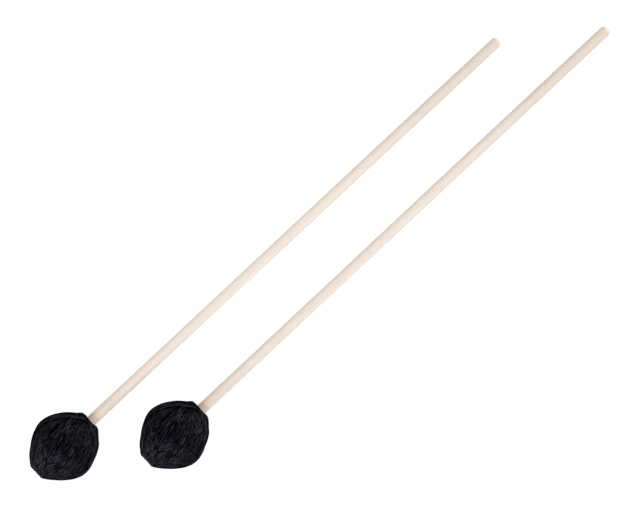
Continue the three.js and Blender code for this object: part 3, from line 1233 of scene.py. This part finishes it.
def press_on_table(mesh):
    """Lift every corner that is under the table, because soft yarn is pressed flat where it rests."""
    corners = corners_of(mesh)
    corners[:, 2] = np.maximum(corners[:, 2], rest_height)
    mesh.vertices.foreach_set("co", corners.ravel())
    mesh.update()


black_yarns = [black_yarn] * len(MALLETS)
for placed in add_to_both("black_winding", outer_mesh, black_yarns, "black_yarn", "outer_yarn"):
    press_on_table(placed)

# %% [markdown]
# ## Inner winding
#
# Under the black yarn lies a first winding of thicker, cheaper wool yarn, which gives the head its bulk. The
# same functions wind it over the covered core. It doesn't show in the finished mallet, so fewer points are
# enough.

# %% Wind the inner yarn
inner_length = 41.0
inner_radius = 19.1
inner_rim_radius = 6.4
inner_dip = 0.5
inner_longest_step = 3.5

inner_points = rounded(barrel(inner_length, inner_radius, inner_rim_radius, inner_rim_radius, inner_dip))
inner_outline = Outline(inner_points, (head_length - inner_length) / 2)
inner_strands, inner_ends = yarn_path(inner_yarn, inner_outline)
inner_laid, _ = lay(inner_yarn, inner_outline, inner_strands, inner_ends)
inner_tube = winding_mesh("inner_winding", inner_yarn, inner_outline, inner_laid, inner_longest_step)
add_to_both("wool_winding", inner_tube, [plain_yarn] * len(MALLETS), "inner_yarn", "inner_yarn")

# %% [markdown]
# ## Stitching
#
# The loops would slip off the core at once without the thread that gathers them. It is waxed, much thinner
# and harder than the yarn, and it is sewn round and round: over the gathered yarn, in next to the middle,
# under it and out again at the rim. That is a coil bent into a ring, half on the yarn and half buried in it.
# One formula gives the coil, and the height map says how high the yarn is under it. One ring closes the eye
# in the crown, and the other hugs the shaft.

# %% A ring of stitches
thread_radius = 0.3
thread_bevel_resolution = 1
points_in_stitch = 20
stitch_wobble = 0.06
thread_depth = 1.4
thread_seat = 0.6
thread_rise = 3.0
seat_reach = 3


def thread_height(run, around, over):
    """The thread's height: on the yarn where it passes over it, and inside it where it passes under."""
    rows, columns = outer_pile.shape
    row = np.clip(np.rint(run / map_step), 0, rows - 1).astype(int)
    column = np.rint(around / (2 * np.pi) * columns).astype(int) % columns
    top = outer_pile[row, column]
    window = 2 * seat_reach + 1
    top = np.convolve(np.r_[top[-seat_reach:], top, top[:seat_reach]], np.ones(window) / window, "valid")
    on_yarn = (top + thread_seat * thread_radius) * np.minimum(over * thread_rise, 1)
    return np.where(over > 0, on_yarn, thread_depth * over)


def stitch_ring(name, near_crown, inner, outer, stitches):
    """A thread coiled round the gathered yarn, between an inner and an outer radius."""
    count = stitches * points_in_stitch
    share = np.arange(count) / count
    errors = random.normal(0, 1, stitches + 1)
    wobble = 1 + stitch_wobble * np.interp(share * stitches, np.arange(stitches + 1), errors)
    around = share * 2 * np.pi
    turn = share * stitches * 2 * np.pi - np.pi / 2
    radius = (inner + outer) / 2 - (outer - inner) / 2 * np.sin(turn) * wobble
    run = outer_outline.run_where(radius, near_crown)
    height = thread_height(run, around, np.cos(turn))
    points, outward = on_surface(outer_outline, run, around, height)
    print(name, round(distances(points)[-1]), "mm of thread in", stitches, "stitches")
    return tube(name, points, np.full(count, thread_radius), thread_bevel_resolution, outward,
                np.ones(count), np.zeros(count))


threads = {
    "crown_stitching": stitch_ring("crown_thread", near_crown=True, inner=1.5, outer=5.2, stitches=16),
    "shaft_stitching": stitch_ring("shaft_thread", near_crown=False, inner=4.15, outer=6.4, stitches=22),
}
for node, thread in threads.items():
    add_to_both(f"{node}_thread", thread, [waxed_thread] * len(MALLETS), "stitching_thread", node)
